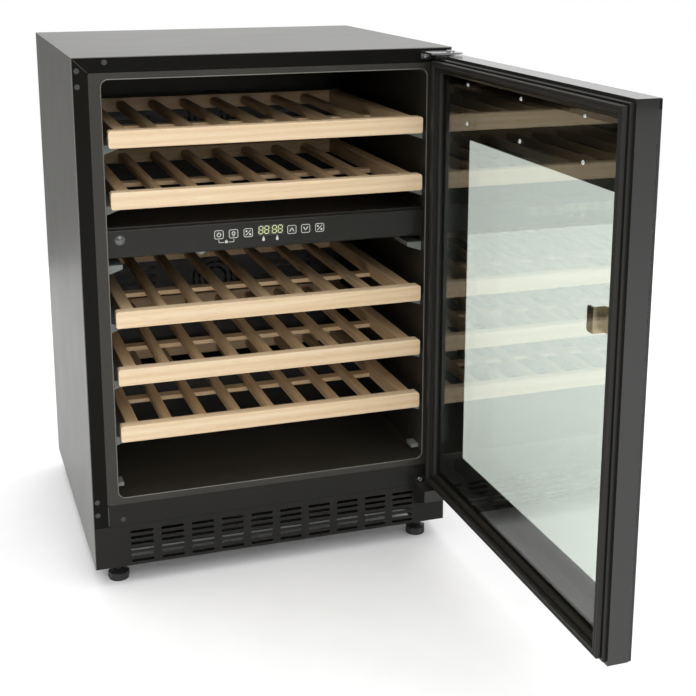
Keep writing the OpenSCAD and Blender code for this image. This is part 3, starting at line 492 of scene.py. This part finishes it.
def stroke(bm, a, b, w, place, t0, t1):
    """A straight bar of width w with cut corners, from a to b."""
    dx, dz = b[0] - a[0], b[1] - a[1]
    length = math.hypot(dx, dz)
    ux, uz = dx / length, dz / length
    cut = w * 0.3
    corners = ((a, cut, 0.5), (a, 0, 0.2), (a, 0, -0.2), (a, cut, -0.5),
               (b, -cut, -0.5), (b, 0, -0.2), (b, 0, 0.2), (b, -cut, 0.5))
    pts = [(end[0] + step * ux - side * w * uz, end[1] + step * uz + side * w * ux)
           for end, step, side in corners]
    plate(bm, pts, place, t0, t1)


# places on the fascia are in mm: x from the cabinet's middle, z from the key row's height
fascia_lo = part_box("control_fascia")[0]
KEY_ROW_UP = 25.5
keys_z = fascia_lo[2] + KEY_ROW_UP * mm


def on_fascia(x, z, t):
    return (x * mm, fascia_lo[1] - t * mm, keys_z + z * mm)


# how far each print reaches in front of the surface that it lies on, from and to, in mm
PAD, FRAME, WINDOW, SEAM = (-0.05, 0.06), (-0.05, 0.14), (-0.05, 0.04), (-0.05, 0.05)
INK, FIGURE = (0.02, 0.16), (0.02, 0.12)


def key_outline(x, half_w, half_h, r):
    return rounded(x - half_w, -half_h, x + half_w, half_h, r)


# touch keys: dark pads, each in a printed frame, with generic signs
key_x = (-83.7, -60.5, -37.0, 33.6, 56.2, 79.5)
pads, frames = bmesh.new(), bmesh.new()
for x in key_x:
    plate(pads, key_outline(x, 6.6, 6.2, 2.2), on_fascia, *PAD)
    ring(frames, key_outline(x, 7.4, 7.0, 3.0), key_outline(x, 6.5, 6.1, 2.1), on_fascia, *FRAME)
finish_piece("key_pads", pads, "key_pad", "cabinet")
finish_piece("key_frames", frames, "print_white", "cabinet")

signs = bmesh.new()
standby_x, lamp_x, left_slash_x, up_x, down_x, right_slash_x = key_x
# standby: broken ring and bar
ring(signs, arc(standby_x, -0.2, 3.5, 24, 125, 415), arc(standby_x, -0.2, 2.4, 24, 125, 415),
     on_fascia, *INK, full=False)
stroke(signs, (standby_x, 0.4), (standby_x, 4.2), 1.1, on_fascia, *INK)
# lamp: ring over a short foot
ring(signs, arc(lamp_x, 0.8, 2.9), arc(lamp_x, 0.8, 1.7), on_fascia, *INK)
stroke(signs, (lamp_x - 1.5, -3.3), (lamp_x + 1.5, -3.3), 1.1, on_fascia, *INK)
# slash with a small square on each side
for x in (left_slash_x, right_slash_x):
    stroke(signs, (x - 4.2, -4.2), (x + 4.2, 4.2), 1.0, on_fascia, *INK)
    plate(signs, rounded(x - 4.4, 1.2, x - 1.6, 4.0, 0.8, 3), on_fascia, *INK)
    plate(signs, rounded(x + 1.4, -4.2, x + 4.4, -1.2, 0.8, 3), on_fascia, *INK)
# up and down
for x, way in ((up_x, 1), (down_x, -1)):
    stroke(signs, (x - 3.7, -2.9 * way), (x + 0.3, 2.9 * way), 1.35, on_fascia, *INK)
    stroke(signs, (x - 0.3, 2.9 * way), (x + 3.7, -2.9 * way), 1.35, on_fascia, *INK)
# bracket that joins the first two keys, with a small padlock in its gap
left, right, top, low = -84.0, -60.2, -8.0, -12.6
lock_x, half_gap = -72.1, 3.5
for a, b in (((left, top), (left, low)), ((left, low), (lock_x - half_gap, low)),
             ((lock_x + half_gap, low), (right, low)), ((right, low), (right, top))):
    stroke(signs, a, b, 0.9, on_fascia, *INK)
plate(signs, rounded(lock_x - 2.3, -14.0, lock_x + 2.3, -10.6, 0.6, 3), on_fascia, *INK)
ring(signs, arc(lock_x, -10.6, 1.7, 14, 0, 180), arc(lock_x, -10.6, 1.0, 14, 0, 180),
     on_fascia, *INK, full=False)
# a bottle under each display
for x in (-12.6, 9.6):
    plate(signs, rounded(x - 2.0, -15.0, x + 2.0, -10.0, 0.7, 3), on_fascia, *INK)
    plate(signs, rounded(x - 0.8, -10.0, x + 0.8, -7.6, 0.3, 3), on_fascia, *INK)
finish_piece("key_signs", signs, "print_white", "cabinet")

# two displays of two seven-segment figures in front of a dark window
window, figures = bmesh.new(), bmesh.new()
plate(window, rounded(-22.0, -6.4, 21.0, 10.4, 1.6), on_fascia, *WINDOW)
half_w, half_h, middle_z = 3.3, 5.9, 2.6
bar_w, bar_gap, slant = 1.35, 0.75, 0.06
level_bars = [((-half_w, z), (half_w, z)) for z in (half_h, 0, -half_h)]
upright_bars = [((x, z), (x, z + half_h)) for z in (0, -half_h) for x in (-half_w, half_w)]
for middle_x in (-16.6, -7.2, 5.2, 14.6):
    for bars, gap_x, gap_z in ((level_bars, bar_gap, 0), (upright_bars, 0, bar_gap)):
        for (ax, az), (bx, bz) in bars:
            start = (middle_x + ax + gap_x + slant * az, middle_z + az + gap_z)
            end = (middle_x + bx - gap_x + slant * bz, middle_z + bz - gap_z)
            stroke(figures, start, end, bar_w, on_fascia, *FIGURE)
finish_piece("display_window", window, "key_pad", "cabinet")
finish_piece("display_figures", figures, "display_lit", "cabinet")

# painted highlights: light-grey strokes on the mitres of the front flange and on the joint beside
# the rail, where the cut edges catch the light
flange_lo, flange_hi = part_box("front_frame")
FLANGE_W = 23.0
flange_half, flange_top, flange_low = flange_hi[0] / mm, flange_hi[2] / mm, flange_lo[2] / mm


def on_flange(x, z, t):
    return (x * mm, flange_lo[1] - t * mm, z * mm)


seams = bmesh.new()
for side in (-1, 1):
    corner = (side * (flange_half - 0.6), flange_top - 0.6)
    inner_corner = (side * (flange_half - FLANGE_W + 1.5), flange_top - FLANGE_W + 1.5)
    stroke(seams, corner, inner_corner, 0.35, on_flange, *SEAM)
    joint_x = side * (flange_half - FLANGE_W)
    stroke(seams, (joint_x, flange_low + 2), (joint_x, flange_low + 34), 0.5, on_flange, *SEAM)
finish_piece("flange_seam_highlights", seams, "highlight_grey", "cabinet")

# printed border on the inner side of the door's outer glass
pane_lo, pane_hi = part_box("door_outer_glass")


def on_pane(y, z, t):
    return (pane_lo[0] - t * mm, y, z)


def inset(sides, low, top, r):
    """An outline in the pane's plane, in mm from its edges."""
    return rounded(pane_lo[1] + sides * mm, pane_lo[2] + low * mm,
                   pane_hi[1] - sides * mm, pane_hi[2] - top * mm, r * mm)


border = bmesh.new()
ring(border, inset(36, 36, 36, 2), inset(70, 69, 126, 3), on_pane, 0.05, 0.2)
# in front of the steel frame the same print lies just inside the glass
ring(border, inset(0.5, 0.5, 0.5, 2), inset(36.5, 36.5, 36.5, 2), on_pane, -0.2, -0.05)
finish_piece("glass_border", border, "print_black", "door")

# painted highlight: a light-grey bead round the liner's mouth, where the rounded lip catches the
# light
liner_lo, liner_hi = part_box("liner")
mouth_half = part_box("shelf_runners")[1][0]
mouth_low, mouth_top = liner_lo[2] + 10.6 * mm, liner_hi[2] - 9.6 * mm
mouth_r = 12 * mm
lip_r, lip_y = 0.85 * mm, liner_lo[1] + 0.3 * mm
path = rounded(-mouth_half, mouth_low, mouth_half, mouth_top, mouth_r, 10)
section = arc(0, 0, lip_r, 10)
lip = bmesh.new()
rows = []
for i, (x, z) in enumerate(path):
    (ax, az), (bx, bz) = path[i - 1], path[(i + 1) % len(path)]
    span = math.hypot(bx - ax, bz - az)
    out_x, out_z = (bz - az) / span, (ax - bx) / span
    rows.append([lip.verts.new((x + out_x * out, lip_y + fore, z + out_z * out))
                 for out, fore in section])
for i, row in enumerate(rows):
    following = rows[(i + 1) % len(rows)]
    for k in range(len(row)):
        j = (k + 1) % len(row)
        lip.faces.new((row[k], following[k], following[j], row[j]))
lip_ob = finish_piece("liner_lip_highlight", lip, "highlight_grey", "cabinet")
for f in lip_ob.data.polygons:
    f.use_smooth = True

# ---------------------------------------------------------------- floor
paper = Network("studio_floor")
tone = paper.remap(paper.noise(9, 4, 0.5), 0.3, 0.7, 0, 1)
white = paper.mix(tone, (0.93, 0.93, 0.93), (0.96, 0.96, 0.96))
paper.done(paper.principled(Base_Color=white, Roughness=0.75))
floor_mesh = bpy.data.meshes.new("floor")
floor_mesh.from_pydata([(-4, -6, 0), (6, -6, 0), (6, 2.1, 0), (-4, 2.1, 0)], [], [(0, 1, 2, 3)])
floor_mesh.materials.append(materials["studio_floor"])
floor = bpy.data.objects.new("floor", floor_mesh)
scene.collection.objects.link(floor)

# ---------------------------------------------------------------- light
# a white room: bright overhead and behind to the right, dimmer in front and to the left
world = bpy.data.worlds.new("studio")
scene.world = world
world.use_nodes = True
sky = world.node_tree
sky.nodes.clear()
direction = sky.nodes.new("ShaderNodeSeparateXYZ")
sky.links.new(sky.nodes.new("ShaderNodeTexCoord").outputs["Generated"], direction.inputs[0])


def soft_range(axis, from_lo, from_hi, to_lo, to_hi):
    node = sky.nodes.new("ShaderNodeMapRange")
    node.interpolation_type = "SMOOTHSTEP"
    node.inputs["From Min"].default_value = from_lo
    node.inputs["From Max"].default_value = from_hi
    node.inputs["To Min"].default_value = to_lo
    node.inputs["To Max"].default_value = to_hi
    sky.links.new(direction.outputs[axis], node.inputs["Value"])
    return node.outputs[0]


def calc(op, a, b):
    node = sky.nodes.new("ShaderNodeMath")
    node.operation = op
    for v, socket in ((a, node.inputs[0]), (b, node.inputs[1])):
        if isinstance(v, float):
            socket.default_value = v
        else:
            sky.links.new(v, socket)
    return node.outputs[0]


DIM, SIDE_GLOW, TOP_GLOW = 0.06, 0.85, 1.68
rightward = soft_range("X", -0.3, 0.25, 0.0, 1.0)
rearward = soft_range("Y", -0.3, 0.4, 0.25, 1.0)
upward = soft_range("Z", 0.05, 0.85, 0.0, 1.0)
horizon = calc("ADD", calc("MULTIPLY", calc("MULTIPLY", rightward, rearward), SIDE_GLOW), DIM)
level_part = calc("MULTIPLY", calc("SUBTRACT", 1.0, upward), horizon)
glow = calc("ADD", level_part, calc("MULTIPLY", upward, TOP_GLOW))
# what the camera sees past the object, directly or through the glass, is plain white
ray = sky.nodes.new("ShaderNodeLightPath")
seen = calc("MAXIMUM", ray.outputs["Is Camera Ray"], ray.outputs["Is Transmission Ray"])
choice = sky.nodes.new("ShaderNodeMix")
sky.links.new(seen, choice.inputs[0])
sky.links.new(glow, choice.inputs[2])
choice.inputs[3].default_value = 1.0
background = sky.nodes.new("ShaderNodeBackground")
background.inputs["Color"].default_value = (1, 1, 1, 1)
sky.links.new(choice.outputs[0], background.inputs["Strength"])
sky.links.new(background.outputs[0], sky.nodes.new("ShaderNodeOutputWorld").inputs[0])


def area(name, loc, target, size, power):
    data = bpy.data.lights.new(name, "AREA")
    data.energy = power
    data.size = size
    ob = bpy.data.objects.new(name, data)
    scene.collection.objects.link(ob)
    ob.location = loc
    ob.rotation_mode = "QUATERNION"
    ob.rotation_quaternion = (Vector(target) - Vector(loc)).to_track_quat("-Z", "Y")
    return ob


area("key", (0.1, -3.0, 2.0), (0, 0, 0.5), 1.6, 28)
low_left = area("low_left", (-0.8, 0.35, 0.05), (-0.3, 0.25, 0.1), 0.8, 0.2)
low_left.data.shape = "RECTANGLE"
low_left.data.size_y = 0.2
low_left.visible_camera = False

# ---------------------------------------------------------------- camera
IMAGE_PX, SENSOR_MM = 696, 36
FOCAL_PX, SHIFT_Y = 1285.1, -0.15
CAM = (-0.5111, -1.8911, 1.0108)
YAW, PITCH = math.radians(-18.57), math.radians(-13.47)
lens = bpy.data.cameras.new("camera")
lens.sensor_width = SENSOR_MM
lens.lens = FOCAL_PX / IMAGE_PX * SENSOR_MM
lens.shift_y = SHIFT_Y
lens.clip_start, lens.clip_end = 0.01, 200
camera = bpy.data.objects.new("camera", lens)
scene.collection.objects.link(camera)
tilt = Matrix.Rotation(PITCH + math.pi / 2, 4, "X")
camera.matrix_world = Matrix.Translation(CAM) @ Matrix.Rotation(YAW, 4, "Z") @ tilt
scene.camera = camera
scene.view_settings.view_transform = "Standard"
